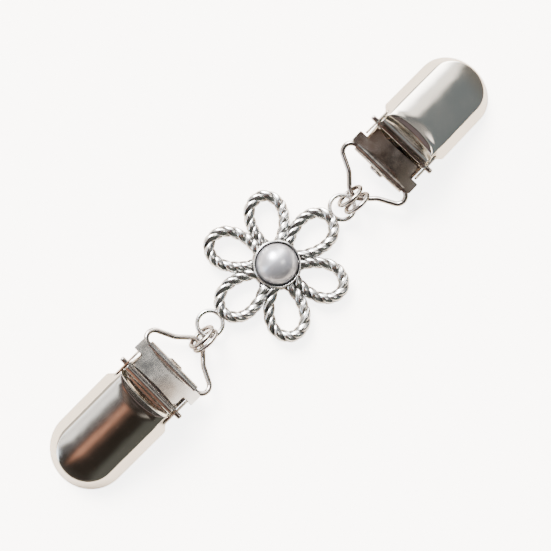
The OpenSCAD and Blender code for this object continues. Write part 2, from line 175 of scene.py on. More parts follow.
def finish_material(mat, inputs):
    shader = add_node(mat.node_tree, "ShaderNodeBsdfPrincipled", inputs)
    add_node(mat.node_tree, "ShaderNodeOutputMaterial", {"Surface": shader.outputs["BSDF"]})
    return mat


def grey(value):
    return (value, value, value, 1.0)


def shade(colour_value, share):
    return [c * share for c in colour_value[:3]] + [1.0]


def noise(tree, where, scale, detail, rough=0.5):
    """Soft random pattern. scale counts its cells per metre."""
    return add_node(tree, "ShaderNodeTexNoise", {"Vector": where, "Scale": scale, "Detail": detail,
                                                 "Roughness": rough}).outputs["Fac"]


def stretched(tree, where, scale, turn=0.0):
    return add_node(tree, "ShaderNodeMapping", {"Vector": where, "Rotation": (0.0, 0.0, turn),
                                                "Scale": scale}).outputs["Vector"]


def spread(tree, value, low, high, at_low, at_high):
    """Maps the range low to high onto at_low to at_high."""
    return add_node(tree, "ShaderNodeMapRange", {"Value": value, "From Min": low, "From Max": high,
                                                 "To Min": at_low, "To Max": at_high}).outputs["Result"]


def ramp(tree, factor, stops):
    new = add_node(tree, "ShaderNodeValToRGB", {"Fac": factor})
    while len(new.color_ramp.elements) < len(stops):
        new.color_ramp.elements.new(0.5)
    for element, (place, value) in zip(new.color_ramp.elements, stops):
        element.position = place
        element.color = value
    return new.outputs["Color"]


def blend(tree, factor, first, second, kind="MIX"):
    """Mixes two colours. Sockets 6 and 7 of the node are its colours."""
    return add_node(tree, "ShaderNodeMix", {"Factor": factor, 6: first, 7: second}, data_type="RGBA",
                    blend_type=kind).outputs[2]


def raised(tree, height, strength, distance, under=None):
    """Normals of a relief, distance in metres, on top of other normals if there are any."""
    inputs = {"Height": height, "Strength": strength, "Distance": distance}
    if under:
        inputs["Normal"] = under
    return add_node(tree, "ShaderNodeBump", inputs).outputs["Normal"]


def polished_nickel(looks):
    """Nickel plate, buffed to a mirror: clear reflections, soft haze where the mop passed."""
    mat, tree, where = start_material("nickel_plate_polished")
    # Handling haze in patches about 6 mm across
    haze = noise(tree, where, 160.0, 4.0, 0.6)
    # Buffing lines run along the clip, 0.4 mm apart and many times as long
    lines = noise(tree, stretched(tree, where, (60.0, 2600.0, 2600.0)), 1.0, 3.0)
    # The stamped sheet is very slightly wavy, about 5 mm from crest to crest
    wave = raised(tree, noise(tree, where, 190.0, 1.0), 0.05, 0.0006)
    return finish_material(mat, {
        "Base Color": ramp(tree, haze, [(0.3, looks.nickel), (0.8, shade(looks.nickel, 0.93))]),
        "Metallic": 1.0, "Roughness": spread(tree, haze, 0.35, 0.75, 0.09, 0.17),
        "Normal": raised(tree, lines, 0.03, 0.00002, wave)})


def satin_nickel(looks):
    """Nickel plate on rolled steel, tumbled and not buffed: blurred reflections, mottles and fine scratches."""
    mat, tree, where = start_material("nickel_plate_satin")
    # Mottles about 2 mm across, and grain of 0.2 mm that is drawn coarser than the real one so that it shows
    mottle = noise(tree, where, 420.0, 6.0, 0.65)
    grain = noise(tree, where, 4200.0, 3.0, 0.7)
    # Scratches about 2 mm long and 0.2 mm apart, aslant
    scratch = noise(tree, stretched(tree, where, (500.0, 5200.0, 5200.0), 0.6), 1.0, 5.0)
    height = add_node(tree, "ShaderNodeMath", {0: scratch, 1: grain}, operation="ADD").outputs["Value"]
    # Tarnish in patches about 9 mm across
    tone = ramp(tree, noise(tree, where, 110.0, 2.0), [(0.38, looks.tarnish), (0.56, looks.satin)])
    speck = ramp(tree, mottle, [(0.3, grey(0.86)), (0.6, grey(1.0))])
    return finish_material(mat, {
        "Base Color": blend(tree, 1.0, tone, speck, "MULTIPLY"), "Metallic": 1.0,
        "Roughness": spread(tree, mottle, 0.3, 0.7, 0.13, 0.24), "Normal": raised(tree, height, 0.07, 0.00004)})


def drawn_wire(looks):
    """Drawn nickel-silver wire, plated: sharp lights on a dark core, with a faint grain of draw marks."""
    mat, tree, where = start_material("nickel_wire_bright")
    # Draw marks of 0.7 mm, and a change of tone about every 4 mm
    mark = noise(tree, where, 1500.0, 4.0, 0.6)
    cast = noise(tree, where, 240.0, 2.0)
    return finish_material(mat, {
        "Base Color": ramp(tree, cast, [(0.35, shade(looks.wire, 0.86)), (0.65, looks.wire)]), "Metallic": 1.0,
        "Roughness": spread(tree, mark, 0.3, 0.7, 0.1, 0.22), "Normal": raised(tree, mark, 0.08, 0.00003)})


def cast_silver(looks):
    """Silver-plated zinc casting: bright on the high places, with painted shade that goes nearly black between
    strands, and a wash wiped off unevenly.
    """
    mat, tree, where = start_material("silver_casting_antiqued")
    depth = add_node(tree, "ShaderNodeAttribute", attribute_name="relief")
    # Wash that was wiped off unevenly, in patches about 1 mm across
    wash = noise(tree, where, 900.0, 3.0)
    offset = add_node(tree, "ShaderNodeMath", {0: wash, 1: 0.5}, operation="SUBTRACT")
    level = add_node(tree, "ShaderNodeMath", {0: offset.outputs["Value"], 1: 0.3, 2: depth.outputs["Fac"]},
                     operation="MULTIPLY_ADD").outputs["Value"]
    # Grain of the casting, 0.3 mm
    skin = noise(tree, where, 3500.0, 2.0)
    # The relief attribute darkens the colour towards the valleys: painted shade between the strands and beside the
    # pearl
    return finish_material(mat, {
        "Base Color": ramp(tree, level, [(0.2, looks.valley_shade), (0.48, looks.half_shade_wash), (0.72, looks.silver)]),
        "Metallic": 1.0, "Roughness": spread(tree, level, 0.2, 0.7, 0.5, 0.17),
        "Normal": raised(tree, skin, 0.1, 0.00004)})


def pearl_nacre(looks):
    """Imitation pearl, dipped in nacre lacquer: a soft deep glow under a clear skin, with a painted sheen that makes
    it paler and warmer at the edge.
    """
    mat, tree, where = start_material("pearl_nacre")
    # Painted sheen: the colour turns paler and warmer where the surface turns away from the view
    edge = add_node(tree, "ShaderNodeLayerWeight", {"Blend": 0.35})
    glow = ramp(tree, edge.outputs["Facing"], [(0.45, looks.pearl), (0.95, looks.pearl_rim_sheen)])
    # Clouds in the lacquer, about 4 mm across
    veil = ramp(tree, noise(tree, where, 260.0, 3.0), [(0.35, grey(0.95)), (0.65, grey(1.0))])
    # Unevenness of the dipped skin, 0.8 mm
    skin = noise(tree, where, 1200.0, 2.0)
    return finish_material(mat, {
        "Base Color": blend(tree, 1.0, glow, veil, "MULTIPLY"), "Metallic": 0.75, "Roughness": 0.33, "IOR": 1.53,
        "Coat Weight": 1.0, "Coat Roughness": 0.16, "Sheen Weight": 0.1, "Sheen Roughness": 0.4,
        "Subsurface Weight": 0.15, "Subsurface Radius": (0.8, 0.7, 0.75), "Subsurface Scale": 0.001,
        "Normal": raised(tree, skin, 0.03, 0.00003)})


def matt_paper(stage):
    """Matt white paper sweep under the piece, as pale as if it were lit from behind."""
    mat, tree, where = start_material("paper_matt")
    # Fibres of about 1 mm
    fibre = noise(tree, where, 900.0, 2.0)
    seen = add_node(tree, "ShaderNodeLightPath")
    glow = add_node(tree, "ShaderNodeMath", {0: seen.outputs["Is Camera Ray"], 1: stage.backlight},
                    operation="MULTIPLY")
    return finish_material(mat, {
        "Base Color": ramp(tree, fibre, [(0.3, stage.floor), (0.7, shade(stage.floor, 0.985))]),
        "Roughness": 0.9, "Specular IOR Level": 0.1, "Emission Color": grey(1.0),
        "Emission Strength": glow.outputs["Value"]})


# Mesh tools

def clip_matrix(side):
    """Places a clip that is drawn in mm about its pin, with the chain towards +X."""
    sizes = bpy.context.scene.clip_sizes
    turn = 0.0 if side < 0 else pi + sizes.right_turn
    shift = 0.0 if side < 0 else sizes.right_shift
    return (Matrix.Translation((side * sizes.pin_x, shift, sizes.pin_z)) @ Matrix.Rotation(turn, 4, "Z")
            @ Matrix.Scale(MM, 4))


def mesh_piece(name, bm, matrix, material, body, node, relief=None):
    """Turns a bmesh in mm into a piece in the row frame, in metres, that rides and stands for its solid."""
    bm.transform(matrix)
    mesh = bpy.data.meshes.new(name)
    bm.to_mesh(mesh)
    bm.free()
    mesh.materials.append(material)
    for face in mesh.polygons:
        face.use_smooth = True
    if relief is not None:
        store = mesh.attributes.new("relief", "FLOAT", "POINT")
        store.data.foreach_set("value", relief)
    piece = bpy.data.objects.new(name, mesh)
    bpy.context.scene.collection.objects.link(piece)
    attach(piece, body)
    if node:
        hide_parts(node)
    return piece


def sharpen(piece, degree=35):
    """Keeps edges crisp where the faces turn by more than this."""
    bm = bmesh.new()
    bm.from_mesh(piece.data)
    for edge in bm.edges:
        if len(edge.link_faces) == 2 and edge.calc_face_angle(0.0) > radians(degree):
            edge.smooth = False
    bm.to_mesh(piece.data)
    bm.free()


def add_rows(bm, rows, wrap_rows=False, wrap_points=False):
    """Joins rows of points into quads."""
    made = [[bm.verts.new(p) for p in row] for row in rows]
    count, width = len(made), len(made[0])
    for i in range(count if wrap_rows else count - 1):
        for j in range(width if wrap_points else width - 1):
            a, b = made[i], made[(i + 1) % count]
            k = (j + 1) % width
            bm.faces.new((a[j], a[k], b[k], b[j]))
    return made


def add_tube(bm, path, radius, sides, closed, section=None):
    """Sweeps a round or scalloped section along a path of points in mm, and returns its rows."""
    n = len(path)
    path = [Vector(p) for p in path]
    heads = []
    for i in range(n):
        a = path[(i - 1) % n] if closed or i else path[0]
        b = path[(i + 1) % n] if closed or i < n - 1 else path[-1]
        heads.append((b - a).normalized())
    up = Vector((0, 0, 1)) if abs(heads[0].z) < 0.9 else Vector((1, 0, 0))
    normal = (up - heads[0] * up.dot(heads[0])).normalized()
    frames = []
    for i in range(n):
        if i:
            turn = heads[i - 1].rotation_difference(heads[i])
            normal = turn @ normal
            normal = (normal - heads[i] * normal.dot(heads[i])).normalized()
        frames.append(normal.copy())
    slip = 0.0
    if closed:
        # The last frame is turned back over the whole loop, so that the seam meets
        last = heads[-1].rotation_difference(heads[0]) @ frames[-1]
        slip = atan2(frames[0].cross(last).dot(heads[0]), frames[0].dot(last))
    rows = []
    for i in range(n):
        other = heads[i].cross(frames[i])
        row = []
        for j in range(sides):
            a = 2 * pi * j / sides - slip * i / n
            r = radius * (section(i, j) if section else 1.0)
            row.append(path[i] + (frames[i] * cos(a) + other * sin(a)) * r)
        rows.append(row)
    made = add_rows(bm, rows, wrap_rows=closed, wrap_points=True)
    if not closed:
        bm.faces.new(list(reversed(made[0])))
        bm.faces.new(made[-1])
    return made


def add_slab(bm, outline, low, high, round_over=0.1):
    """Sheet with an outline in x and z, cut from y = low to high, its edges rounded over."""
    verts = [bm.verts.new((x, low, z)) for x, z in outline]
    face = bm.faces.new(verts)
    out = bmesh.ops.extrude_face_region(bm, geom=[face])
    top = [v for v in out["geom"] if isinstance(v, bmesh.types.BMVert)]
    for v in top:
        v.co.y = high
    faces = {f for v in verts + top for f in v.link_faces}
    bmesh.ops.recalc_face_normals(bm, faces=list(faces))
    edges = {e for f in faces for e in f.edges
             if e.calc_face_angle(0.0) > radians(40)}
    bmesh.ops.bevel(bm, geom=list(edges), offset=round_over, segments=2, affect="EDGES", clamp_overlap=True)


def add_lathe(bm, profile, steps, centre=(0, 0, 0), axis="Z"):
    """Turns a profile of (radius, height) about an axis."""
    rows = []
    for i in range(steps):
        a = 2 * pi * i / steps
        row = []
        for r, h in profile:
            p = (r * cos(a), r * sin(a), h) if axis == "Z" else (r * sin(a), h, r * cos(a))
            row.append(Vector(p) + Vector(centre))
        rows.append(row)
    add_rows(bm, rows, wrap_rows=True)
    bmesh.ops.remove_doubles(bm, verts=bm.verts, dist=1e-5)


def tidy(bm):
    bmesh.ops.remove_doubles(bm, verts=bm.verts, dist=1e-5)
    bmesh.ops.recalc_face_normals(bm, faces=bm.faces)


def arc(cx, cy, r, start, stop, steps):
    """Points of an arc, its angles in degrees."""
    return [(cx + r * cos(radians(start + (stop - start) * i / steps)),
             cy + r * sin(radians(start + (stop - start) * i / steps))) for i in range(steps + 1)]


def smooth_step(a, b, x):
    t = max(0.0, min(1.0, (x - a) / (b - a)))
    return t * t * (3 - 2 * t)


def smooth_min(a, b, k):
    h = max(k - abs(a - b), 0.0) / k
    return min(a, b) - h * h * k / 4


def smooth_max(a, b, k):
    return -smooth_min(-a, -b, k)


# Clip pieces

RIM = -0.4
CROWN = 3.6
# Plan distance from the outline to the crease between wall and crown
SHOULDER = 2.3
# The crown gives way to a gentle hip, and the hip to a steep back that ends in the valley before the lip
HIP = -4.65
HIP_SLOPE = 0.40
BACK = -2.5
FOOT = -1.85
VALLEY = 0.9
# Both bow towards the ears, by this much where the crown ends in y
BOW = 0.8
CROWN_HALF = 6.85
# The lip's height above the valley, where it rises, and where it starts to curl towards the pin
LIP_RISE = 1.0
LIP_FOOT = -1.25
LIP_EDGE = -0.6
CURL_FROM = -0.12


class Shell:
    """The shell's outer face as heights over its plan, in mm about the pin."""

    def __init__(self, sizes):
        self.half = sizes.half_width / MM
        self.length = sizes.length / MM
        self.radius = sizes.crown_radius / MM
        self.rear = sizes.ear_half / MM
        self.nose_x = -self.length + self.half
        self.profile = self.half_profile()

    def crown(self, y):
        return CROWN - self.radius + sqrt(self.radius ** 2 - y * y)

    def half_profile(self):
        """(inset from the outline, height) from the rim up the drafted wall, over the shoulder."""
        corner = (SHOULDER, self.crown(self.half - SHOULDER))
        wall = Vector((corner[0], corner[1] - RIM)).normalized()
        tangent = Vector((1.0, (self.half - SHOULDER) / self.radius)).normalized()
        start = Vector(corner) - wall * 0.5
        end = Vector(corner) + tangent * 0.55
        points = [(start.x * t, RIM + (start.y - RIM) * t) for t in (0, 0.04, 0.2, 0.5, 0.8)]
        for i in range(13):
            t = i / 12
            p = start * (1 - t) ** 2 + Vector(corner) * 2 * t * (1 - t) + end * t * t
            points.append((p.x, p.y))
        return points

    def half_line(self, half):
        """(y, height) from the outline to the middle. The wall stands steeper where the plan is narrower."""
        share = 1 - (self.half - half) / SHOULDER
        line = [(half - inset * share if inset < SHOULDER else self.half - inset, z)
                for inset, z in self.profile]
        first = line[-1][0]
        for i in range(1, 23):
            y = first * (1 - i / 22)
            line.append((y, self.crown(y)))
        return line

    def half_width(self, x):
        """Plan half width, with the chamfer that steps in to the ears."""
        step = smooth_step(-5.1, -3.35, x)
        return self.half + (self.rear - self.half) * (0.85 * step + 0.15 * max(0, min(1, (x + 4.9) / 1.5)))

    def top(self, x, y):
        """Height of the hip, the steep back, the valley and the raised lip."""
        bow = BOW * min(1, abs(y) / CROWN_HALF) ** 2
        high = CROWN - (BACK - HIP) * HIP_SLOPE
        hip = CROWN - (x - HIP - bow) * HIP_SLOPE
        start = BACK + bow
        foot = max(FOOT + 0.4 * bow, start + 0.45)
        back = high - (x - start) * (high - VALLEY) / (foot - start)
        lip = VALLEY + LIP_RISE * smooth_step(LIP_FOOT, LIP_EDGE, x)
        # The lip curls down a little towards the pin
        curl = VALLEY + LIP_RISE - 0.5 * max(0, x - CURL_FROM)
        return smooth_max(smooth_min(hip, back, 0.15), smooth_min(lip, curl, 0.12), 0.2)

    def point(self, x, y, z):
        """The outer face at a plan point, where the plain dome stands z high."""
        limit = self.top(x, y)
        # At the ears the lip and the back's foot run out
        limit += (min(limit, VALLEY) - limit) * smooth_step(6.9, 7.3, abs(y)) * smooth_step(-2.0, -1.3, x)
        # The crown bends slowly into the hip, the lip and the back are crisp
        soft = 0.14 + 0.66 * (1 - smooth_step(-4.2, -2.9, x))
        return Vector((x, y, smooth_min(z, limit, soft) if z > RIM + 1.0 else min(z, limit)))

    def rows(self):
        """Lines across the shell, from the lip along one side, round the nose and back on the other side."""
        stations = [0.29, 0.2, 0.1, 0.02, -0.05, -0.12, -0.2, -0.35, -0.5, -0.6, -0.7, -0.8, -0.9, -1.0, -1.1, -1.2]
        stations += [-1.3 - 0.08 * i for i in range(22)] + [-3.1 - 0.16 * i for i in range(26)] + [-7.6, -8.3, -9.1]
        x = -10.0
        while x > self.nose_x + 0.5:
            stations.append(x)
            x -= 1.0
        stations.append(self.nose_x)
        body = []
        for x in stations:
            half = self.half_width(x)
            body.append([(x, y, z) for y, z in self.half_line(half)])
        rows = [[self.point(*p) for p in line] for line in body]
        nose = self.half_line(self.half)
        steps = 72
        for i in range(1, steps):
            a = pi / 2 + pi * i / steps
            rows.append([Vector((self.nose_x + y * cos(a), y * sin(a), z)) for y, z in nose])
        rows += [[self.point(x, -y, z) for x, y, z in line] for line in reversed(body)]
        return rows


def shell_tilt(sizes):
    """Angle that lays the nose on the surface."""
    arm = hypot(sizes.length / MM, 0.4)
    return asin((sizes.pin_z / MM - 0.05) / arm) - atan2(0.4, sizes.length / MM)


class CLIP_OT_shells(bpy.types.Operator):
    """Make both domed shells, each with its back, lip and ears"""
    bl_idname = "sweater_clip.shells"
    bl_label = "Shells"

    def execute(self, context):
        sizes = context.scene.clip_sizes
        material = polished_nickel(context.scene.clip_finishes)
        for side, name in SIDES:
            bm = bmesh.new()
            add_rows(bm, Shell(sizes).rows())
            bmesh.ops.remove_doubles(bm, verts=bm.verts, dist=1e-4)
            bmesh.ops.dissolve_degenerate(bm, edges=bm.edges, dist=1e-4)
            bm.normal_update()
            crown = max(bm.faces, key=lambda f: f.calc_center_median().z)
            if crown.normal.z < 0:
                bmesh.ops.reverse_faces(bm, faces=bm.faces)
                bm.normal_update()
            # The inner face is the outer one moved in by the sheet's thickness
            thick = sizes.sheet / MM
            outer = list(bm.verts)
            outer_faces = list(bm.faces)
            border = [e for e in bm.edges if len(e.link_faces) == 1]
            inner = {v: bm.verts.new(v.co - v.normal * thick) for v in outer}
            for vert in inner.values():
                vert.co.z = max(vert.co.z, RIM)
            for face in outer_faces:
                bm.faces.new([inner[v] for v in reversed(face.verts)])
            for edge in border:
                a, b = edge.verts
                bm.faces.new((a, b, inner[b], inner[a]))
            bmesh.ops.recalc_face_normals(bm, faces=bm.faces)
            rear = sizes.ear_half / MM
            outline = ([(-4.9, RIM + 0.05), (-4.3, RIM), (-2.6, -1.7)] + arc(0, 0, 3.75, -27, 8, 6)
                       + arc(2.75, 0.54, 0.87, 5, 90, 5) + [(-2.2, 1.41), (-3.0, 1.3), (-3.7, 0.9), (-4.3, 0.4)])
            for sign in (-1, 1):
                low, high = sorted((sign * (rear - thick), sign * (rear + 0.03)))
                old = set(bm.verts)
                add_slab(bm, outline, low, high, 0.13)
                # The ears lean in a little towards their tops
                for vert in bm.verts:
                    if vert not in old and abs(vert.co.y) > rear - 0.3:
                        vert.co.y -= sign * 0.34 * smooth_step(-1.7, 1.4, vert.co.z)
            tilt = Matrix.Rotation(-shell_tilt(sizes), 4, "Y")
            piece = mesh_piece("shell_cover_" + name, bm, clip_matrix(side) @ tilt, material,
                               name + "_shell", "shell_" + name)
            sharpen(piece, 50)
        return {"FINISHED"}


class CLIP_OT_pins(bpy.types.Operator):
    """Make both hinge pins, with riveted heads"""
    bl_idname = "sweater_clip.pins"
    bl_label = "Hinge pins"

    def execute(self, context):
        sizes = context.scene.clip_sizes
        material = drawn_wire(context.scene.clip_finishes)
        r, end = sizes.pin_diameter / MM / 2, sizes.pin_length / MM / 2
        for side, name in SIDES:
            half = [(0, end), (r * 0.5, end - 0.03), (r * 0.85, end - 0.14), (r, end - 0.34), (r * 0.97, end - 0.8),
                    (r, end - 1.2), (r, 0.0)]
            profile = half + [(radius, -y) for radius, y in reversed(half[:-1])]
            bm = bmesh.new()
            add_lathe(bm, profile, 24, axis="Y")
            tidy(bm)
            mesh_piece("pin_rivet_" + name, bm, clip_matrix(side), material, name + "_shell", "pin_" + name)
        return {"FINISHED"}


class CLIP_OT_jaws(bpy.types.Operator):
    """Make both toothed jaws, their cut edges rounded over"""
    bl_idname = "sweater_clip.jaws"
    bl_label = "Jaws"

    def execute(self, context):
        material = satin_nickel(context.scene.clip_finishes)
        for _, name in SIDES:
            bm = bmesh.new()
            bm.from_mesh(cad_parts["jaw_" + name].data)
            bmesh.ops.remove_doubles(bm, verts=bm.verts, dist=1e-7)
            bmesh.ops.dissolve_limit(bm, angle_limit=radians(1), verts=bm.verts, edges=bm.edges)
            sharp = [e for e in bm.edges if len(e.link_faces) == 2 and e.calc_face_angle(0.0) > radians(35)]
            bmesh.ops.bevel(bm, geom=sharp, offset=0.1 * MM, segments=2, affect="EDGES", clamp_overlap=True)
            piece = mesh_piece("jaw_plate_" + name, bm, Matrix.Identity(4), material, name + "_jaw", "jaw_" + name)
            sharpen(piece, 40)
        return {"FINISHED"}


LEVER_DROP = 0.78
LEVER_SHEET = 0.5
ROLL_X = 7.2
ROLL_Z = -1.88
ROLL_HALF = 7.3


def lever_plate(bm):
    """The T-shaped plate: a bowed front edge, rounded wings and a hollowed edge over the roll."""
    neck, wing = 6.42, 9.08
    front = [-neck] + [0.5 * i - 6 for i in range(25)] + [neck]
    outline = [(1.05 + 0.35 * (1 - (y / neck) ** 2), y) for y in front]
    outline += [(3.7, neck), (4.1, neck + 0.2)]
    outline += arc(4.4, wing - 0.3, 0.3, 180, 90, 4) + arc(6.75, wing - 0.3, 0.3, 90, 0, 4)
    outline += [(7.05, 7.6)]
    hollow = [7.3] + [7 - 0.5 * i for i in range(29)] + [-7.3]
    outline += [(5.75 + 1.2 * (y / 7.3) ** 2, y) for y in hollow]
    outline += [(7.05, -7.6)]
    outline += arc(6.75, -wing + 0.3, 0.3, 0, -90, 4) + arc(4.4, -wing + 0.3, 0.3, -90, -180, 4)
    outline += [(4.1, -neck - 0.2), (3.7, -neck)]
    face = bm.faces.new([bm.verts.new((x, y, -LEVER_DROP)) for x, y in outline])
    if face.normal.z < 0:
        face.normal_flip()
    for i in range(1, 36):
        bmesh.ops.bisect_plane(bm, geom=bm.verts[:] + bm.edges[:] + bm.faces[:], plane_co=(0, -9 + 0.5 * i, 0),
                               plane_no=(0, 1, 0))
    for x in (2.2, 3.2, 4.1, 5.0):
        bmesh.ops.bisect_plane(bm, geom=bm.verts[:] + bm.edges[:] + bm.faces[:], plane_co=(x, 0, 0),
                               plane_no=(1, 0, 0))
    bmesh.ops.remove_doubles(bm, verts=bm.verts, dist=0.03)
    out = bmesh.ops.extrude_face_region(bm, geom=bm.faces[:])
    for v in out["geom"]:
        if isinstance(v, bmesh.types.BMVert):
            v.co.z -= LEVER_SHEET
    bmesh.ops.recalc_face_normals(bm, faces=bm.faces)
    bm.normal_update()
    edges = [e for e in bm.edges if len(e.link_faces) == 2 and e.calc_face_angle(0.0) > radians(60)
             and abs(e.verts[0].co.z - e.verts[1].co.z) < 0.01]
    bmesh.ops.bevel(bm, geom=edges, offset=0.13, segments=3, affect="EDGES", clamp_overlap=True)
    # Stamping leaves the plate a little crowned across the clip
    for v in bm.verts:
        v.co.z -= 0.0045 * v.co.y ** 2 - 0.05


class CLIP_OT_levers(bpy.types.Operator):
    """Make both levers, each with its plate, roll and cam lugs"""
    bl_idname = "sweater_clip.levers"
    bl_label = "Levers"

    def execute(self, context):
        sizes = context.scene.clip_sizes
        material = satin_nickel(context.scene.clip_finishes)
        for side, name in SIDES:
            bm = bmesh.new()
            lever_plate(bm)
            ring = (arc(ROLL_X, ROLL_Z, 1.1, 215, 535, 40) + arc(ROLL_X, ROLL_Z, 0.62, 535, 215, 40))
            add_slab(bm, ring, -ROLL_HALF, ROLL_HALF, 0.08)
            web = [(4.6, -1.3), (5.6, -1.34), (6.5, -1.15), (6.3, -1.9), (5.4, -1.75), (4.6, -1.6)]
            add_slab(bm, web, -7.0, 7.0, 0.1)
            lug = ([(1.23, 0.0), (1.45, -0.9), (4.0, -0.95), (3.9, -5.2), (2.9, -6.0), (1.2, -6.3), (-1.2, -2.4)]
                   + arc(0, 0, 1.2, 185, 0, 12)[:-1])
            for sign in (-1, 1):
                low, high = sorted((sign * 5.98, sign * 6.48))
                add_slab(bm, lug, low, high, 0.1)
            fall = Matrix.Rotation(sizes.lever_fall, 4, "Y")
            piece = mesh_piece("lever_plate_" + name, bm, clip_matrix(side) @ fall, material, name + "_lever",
                               "lever_" + name)
            sharpen(piece, 50)
        return {"FINISHED"}


# Links

def bail_path(length):
    """One half of the bail's centre line in mm, from its bar to its tip."""
    bar, corner, leg, throat, tip, neck = ROLL_HALF + 0.1, 1.95, 63, 45, 3.0, 4.0
    end = Vector((corner, bar)) + corner * Vector((sin(radians(leg)), cos(radians(leg))))
    leg_way = Vector((cos(radians(leg)), -sin(radians(leg))))
    throat_way = Vector((cos(radians(throat)), -sin(radians(throat))))
    tip_at = Vector((length - tip + tip * sin(radians(throat)), tip * cos(radians(throat))))
    apart = tip_at - end
    full = ((apart.x * throat_way.y - apart.y * throat_way.x)
            / (leg_way.x * throat_way.y - leg_way.y * throat_way.x))
    back = neck * tan(radians(leg - throat) / 2)
    start = end + (full - back) * leg_way
    centre = start + neck * Vector((-leg_way.y, leg_way.x))
    return (arc(corner, bar, corner, 180, 90 - leg, 18) + arc(centre.x, centre.y, neck, 270 - leg, 270 - throat, 8)
            + arc(length - tip, 0, tip, 90 - throat, 0, 12))


class CLIP_OT_bails(bpy.types.Operator):
    """Make both bell-shaped wire bails"""
    bl_idname = "sweater_clip.bails"
    bl_label = "Bails"

    def execute(self, context):
        sizes, chain = context.scene.clip_sizes, context.scene.chain_sizes
        material = drawn_wire(context.scene.clip_finishes)
        fall = sizes.lever_fall
        bar = Vector((ROLL_X * cos(fall) + ROLL_Z * sin(fall), 0, -ROLL_X * sin(fall) + ROLL_Z * cos(fall)))
        length = chain.bail_length / MM
        down = asin((sizes.pin_z / MM + bar.z - chain.bail_tip_z / MM) / length)
        half = bail_path(length)
        bars = [(0, y) for y in (-6.0, -4.0, -2.0, 0.0, 2.0, 4.0, 6.0)]
        path = bars + half + [(x, -y) for x, y in reversed(half[:-1])]
        for side, name in SIDES:
            bm = bmesh.new()
            add_tube(bm, [(x, y, 0) for x, y in path], chain.bail_wire / MM / 2, 20, True)
            tidy(bm)
            place = clip_matrix(side) @ Matrix.Translation(bar) @ Matrix.Rotation(down, 4, "Y")
            mesh_piece("bail_wire_" + name, bm, place, material, "chain", "bail_" + name)
        return {"FINISHED"}


class CLIP_OT_jump_rings(bpy.types.Operator):
    """Make the four leaning jump rings"""
    bl_idname = "sweater_clip.jump_rings"
    bl_label = "Jump rings"

    def execute(self, context):
        chain = context.scene.chain_sizes
        material = drawn_wire(context.scene.clip_finishes)
        radius, wire = chain.ring_radius / MM, chain.ring_wire / MM / 2
        for name in ("left_a", "left_b", "right_a", "right_b"):
            low, high = (Vector(corner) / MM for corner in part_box("jump_ring_" + name))
            bm = bmesh.new()
            path = [(radius * cos(2 * pi * i / 72), radius * sin(2 * pi * i / 72), 0) for i in range(72)]
            add_tube(bm, path, wire, 18, True)
            tidy(bm)
            place = (Matrix.Scale(MM, 4) @ Matrix.Translation((low + high) / 2)
                     @ Matrix.Rotation(-chain.ring_lean, 4, "X"))
            mesh_piece("jump_ring_wire_" + name, bm, place, material, "chain", "jump_ring_" + name)
        return {"FINISHED"}


# Flower

# Petal outline: distance out as a share of the reach, half width as a share of the petal's half width
PETAL = ((0.30, 0.42), (0.43, 0.74), (0.57, 0.95), (0.72, 1.02), (0.86, 0.88), (0.96, 0.50), (1.00, 0.00))
ROPE_TURNS = 6.0
# Distance between the rope's sections in mm, and a strand's radius as a share of the rope's
ROPE_STEP = 0.24
STRAND_SHARE = 0.545
STRAND_WIRES = 4
STRAND_SIDES = 40
# Reach of each petal as a share: a hand-shaped master is never quite even
PETAL_SHARE = (1.01, 0.995, 0.99, 1.0, 1.02, 0.985)


def petal_knots(flower, share):
    half = [Vector((x * flower.reach / MM * share, y * flower.half_width / MM * share)) for x, y in PETAL]
    knots = half + [Vector((k.x, -k.y)) for k in reversed(half[:-1])]
    return [2 * knots[0] - knots[1]] + knots + [2 * knots[-1] - knots[-2]]


def petal_point(knots, s):
    last = len(knots) - 3
    f = min(max(s, 0.0), 1.0) * last
    i = min(int(f), last - 1)
    t = f - i
    a, b, c, d = knots[i:i + 4]
    return 0.5 * (2 * b + (c - a) * t + (2 * a - 5 * b + 4 * c - d) * t * t + (3 * b - a - 3 * c + d) * t ** 3)


def even_petal(knots, spacing):
    """Points of a petal's centre line, evenly spaced, with their headings."""
    fine = [petal_point(knots, i / 800) for i in range(801)]
    run = [0.0]
    for a, b in zip(fine, fine[1:]):
        run.append(run[-1] + (b - a).length)
    count = int(run[-1] / spacing)
    points, k = [], 0
    for i in range(count + 1):
        want = run[-1] * i / count
        while k < len(run) - 2 and run[k + 1] < want:
            k += 1
        t = (want - run[k]) / max(run[k + 1] - run[k], 1e-9)
        points.append(fine[k] + (fine[k + 1] - fine[k]) * t)
    return points


